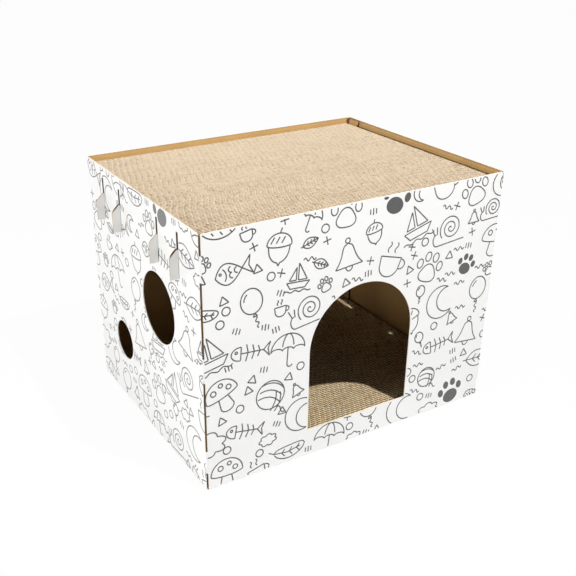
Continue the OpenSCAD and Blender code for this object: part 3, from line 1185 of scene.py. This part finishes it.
class CATHOUSE_OT_creases(Operator):
    """Make the creased corners: white bridges bent round the arris, and the raw core in the cuts"""
    bl_idname = "cat_house.creases"
    bl_label = "Make Creased Corners"

    def execute(self, context):
        sizes = settings("board")
        # The bent white is darkened a little as a painted shade of the bend
        white = coated_white("bent_white", shade(sizes.white, BEND_PAINTED_SHADE), roughness=0.5, coat=0.5)
        kraft = kraft_paper("bridge_back", sizes.kraft)
        cut = kraft_paper("bridge_edge", sizes.cut)
        core = kraft_paper("crease_core", sizes.kraft)
        radius = sizes.fold_radius
        inset, half = (BOARD + radius) / 2, (BOARD - radius) / 2
        corners = {"front_left": (-1, -1), "front_right": (1, -1), "back_left": (-1, 1)}
        for name, (right, back) in corners.items():
            mesh = quad_mesh(name, *self.bridges(right, back))
            piece = new_piece(f"{name}_bridges", mesh, [white, kraft, cut], "sleeve")
            thicken(piece, sizes.liner, offset=-1, back=1, rim=2)
            middle = (right * (HALF_WIDTH - inset), back * (HALF_DEPTH - inset))
            crease_core(name, middle, (half, half), core)
        return {"FINISHED"}

    @staticmethod
    def bridges(right, back):
        """Points and cells of a corner's three bridges: a quarter circle, carried up each bridge's height."""
        sizes = settings("board")
        radius = sizes.fold_radius
        turn = np.linspace(0, np.pi / 2, FOLD_STEPS + 1)
        plan = np.stack([right * (HALF_WIDTH - radius + radius * np.cos(turn)),
                         back * (HALF_DEPTH - radius + radius * np.sin(turn))], axis=1)
        plan = plan[::-1] if right * back < 0 else plan
        rows = np.arange(-1, 2)
        middles = HEIGHT / 2 + sizes.bridge_pitch * rows
        heights = middles[:, None] + sizes.bridge / 2 * np.array([-1, 1])
        points = np.empty((len(middles), len(turn), 2, 3))
        points[..., :2] = plan[:, None]
        points[..., 2] = heights[:, None]
        cells = grid_quads(len(turn), 2).reshape(-1, 4)
        firsts = 2 * len(turn) * np.arange(len(middles))
        return points.reshape(-1, 3), np.concatenate([cells + first for first in firsts])


class CATHOUSE_OT_print(Operator):
    """Print the line drawing on the outside of each wall"""
    bl_idname = "cat_house.print"
    bl_label = "Print Walls"

    def execute(self, context):
        sizes = settings("artwork")
        ink = printing_ink("printing_ink", sizes.ink)
        for turn, (name, (board, outline, _)) in enumerate(walls().items()):
            chance = np.random.default_rng(sizes.seed + turn)
            points, quads = ink_on(board, outline, layout(outline, chance))
            side = name.replace("_wall", "")
            new_piece(f"{side}_print", quad_mesh(name, points, quads), [ink], "sleeve")
        return {"FINISHED"}


class CATHOUSE_OT_beams(Operator):
    """Make the two folded beams with their decks, webs and hooks"""
    bl_idname = "cat_house.beams"
    bl_label = "Make Beams"

    def execute(self, context):
        sizes = settings("board")
        white = coated_white("plain_white", sizes.plain, roughness=0.6, coat=0)
        # The beams' flutes are darkened as a painted shade of the open, shaded flute mouths at the hooks'
        # edges
        flutes = kraft_paper("beam_flute_painted_shade", shade(sizes.flute, BEAM_FLUTE_PAINTED_SHADE))
        cut = kraft_paper("beam_edge", sizes.kraft)
        inside = kraft_paper("beam_inside", sizes.kraft)
        for beam in BEAMS:
            low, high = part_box(f"{beam}_deck")
            middle = (low.y + high.y) / 2
            deck = Board((0, middle, high.z), (1, 0, 0), (0, 1, 0), (0, 0, 1))
            outline = Outline(low.x, high.x, low.y - middle, level(high.y - middle))
            corrugated(f"{beam}_deck", deck, outline, (white, inside, flutes, cut), beam)
            for side in WEB_SIDES:
                name = f"{beam}_{side}_web"
                board, outline = self.web(name, high.x, side == "far")
                corrugated(name, board, outline, (white, white, flutes, cut), beam)
        return {"FINISHED"}

    @staticmethod
    def web(name, deck_end, top_crushed):
        """A web's board and outline: hooks stand out at both ends, cut free below their necks."""
        hooks = settings("hooks")
        low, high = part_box(name)
        reach = high.x
        neck = high.z - hooks.neck
        tip = neck - hooks.drop
        outer = HALF_WIDTH + hooks.gap

        def top(along):
            """The deck's height, falling at 45 degrees along the chamfer."""
            return high.z - np.clip(np.abs(along) - (reach - hooks.chamfer), 0, hooks.chamfer)

        below = square_opening([(-reach, -deck_end), (deck_end, reach)], low.z, tip)
        behind = square_opening([(-outer, -deck_end), (deck_end, outer)], tip, neck)
        board = Board((0, low.y, 0), (1, 0, 0), (0, 0, 1), (0, -1, 0))
        knees = (hooks.chamfer - reach, reach - hooks.chamfer)
        return board, Outline(-reach, reach, low.z, top, [below, behind], knees, hooks.crush, (True, True),
                              top_crushed)


class CATHOUSE_OT_pads(Operator):
    """Make the two scratch pads from corrugated strips on edge"""
    bl_idname = "cat_house.pads"
    bl_label = "Make Scratch Pads"

    def execute(self, context):
        sizes = settings("pads")
        make_pad("top_pad_strips", "top_pad", sizes.top_edge, sizes.top_painted_shade, sizes.top_painted_shade_start,
                 sizes.top_drift)
        make_pad("floor_pad_strips", "floor_pad", sizes.floor_edge, sizes.floor_painted_shade, sizes.floor_painted_shade_start,
                 sizes.floor_drift)
        return {"FINISHED"}


class CATHOUSE_OT_stage(Operator):
    """Make the camera, the lamps, the even light and the pale floor"""
    bl_idname = "cat_house.stage"
    bl_label = "Make Stage"

    def execute(self, context):
        context.scene.view_settings.view_transform = "Standard"
        self.camera(context)
        self.sky(context)
        stage = settings("stage")
        self.lamp("Key", stage.key_place, stage.key_size, stage.key)
        self.lamp("Fill", stage.fill_place, stage.fill_size, stage.fill)
        self.lamp("Top", stage.top_place, stage.top_size, stage.top)
        corners = FLOOR_REACH * np.array([(-1, -1, 0), (1, -1, 0), (1, 1, 0), (-1, 1, 0)])
        mesh = quad_mesh("floor", corners - (0, 0, FLOOR_DROP), np.array([[0, 1, 2, 3]]))
        covered = (HALF_WIDTH, HALF_DEPTH)
        mesh.materials.append(pale_floor("pale_floor", stage.floor, stage.floor_glow, covered))
        floor = bpy.data.objects.new("floor", mesh)
        context.scene.collection.objects.link(floor)
        return {"FINISHED"}

    @staticmethod
    def camera(context):
        """The camera that took the picture, from its place, heading, tilt, focal length and lens axis."""
        stage = settings("stage")
        data = bpy.data.cameras.new("Camera")
        data.lens = data.sensor_width * stage.focal / stage.image
        data.shift_x = 0.5 - stage.axis_x / stage.image
        data.shift_y = stage.axis_y / stage.image - 0.5
        camera = bpy.data.objects.new("Camera", data)
        forward = Vector((np.sin(stage.heading) * np.cos(stage.tilt),
                          np.cos(stage.heading) * np.cos(stage.tilt), -np.sin(stage.tilt)))
        camera.rotation_euler = forward.to_track_quat("-Z", "Y").to_euler()
        camera.location = stage.camera
        context.scene.collection.objects.link(camera)
        context.scene.camera = camera

    @staticmethod
    def lamp(name, place, size, level_there):
        """A square lamp that lights a white surface, facing it at the house, to the given level."""
        data = bpy.data.lights.new(name, "AREA")
        data.size = size
        direction = place - Vector((0, 0, HEIGHT / 2))
        data.energy = level_there * (np.pi * direction.length) ** 2
        lamp = bpy.data.objects.new(name, data)
        lamp.location = place
        lamp.rotation_euler = direction.to_track_quat("Z", "Y").to_euler()
        bpy.context.scene.collection.objects.link(lamp)

    @staticmethod
    def sky(context):
        """Even light from all round, which the camera and reflections see as plain white."""
        world = bpy.data.worlds.new("World")
        context.scene.world = world
        nodes = Nodes(world)
        light = nodes.tree.nodes["Background"]
        nodes.feed(light.inputs["Color"], WHITE)
        nodes.feed(light.inputs["Strength"], settings("stage").sky)
        white = nodes.node("ShaderNodeBackground", {"Color": WHITE})
        nodes.blend("World Output", nodes.seen(), light.outputs[0], white.outputs[0])


MAKERS = (CATHOUSE_OT_walls, CATHOUSE_OT_glue_flap, CATHOUSE_OT_creases, CATHOUSE_OT_print,
          CATHOUSE_OT_beams, CATHOUSE_OT_pads, CATHOUSE_OT_stage)


class CATHOUSE_PT_sidebar(Panel):
    """Lists the makers and the sizes"""
    bl_idname = "CATHOUSE_PT_sidebar"
    bl_label = "Cat House"
    bl_space_type = "VIEW_3D"
    bl_region_type = "UI"
    bl_category = "Cat House"

    def draw(self, context):
        for maker in MAKERS:
            self.layout.operator(maker.bl_idname)
        for group, kind in GROUPS.items():
            box = self.layout.box()
            for name in kind.__annotations__:
                box.prop(settings(group), name)


CLASSES = (*GROUPS.values(), *MAKERS, CATHOUSE_PT_sidebar)


def register():
    """Registers the classes and gives every scene the settings."""
    for kind in CLASSES:
        bpy.utils.register_class(kind)
    for group, kind in GROUPS.items():
        setattr(Scene, f"cat_house_{group}", PointerProperty(type=kind))


def unregister():
    """Takes the settings away again, and then the classes."""
    for group in GROUPS:
        delattr(Scene, f"cat_house_{group}")
    for kind in reversed(CLASSES):
        bpy.utils.unregister_class(kind)


def main():
    """Makes every piece in order."""
    register()
    bpy.ops.cat_house.walls()
    bpy.ops.cat_house.glue_flap()
    bpy.ops.cat_house.creases()
    bpy.ops.cat_house.print()
    bpy.ops.cat_house.beams()
    bpy.ops.cat_house.pads()
    bpy.ops.cat_house.stage()


if __name__ == "__main__":
    main()
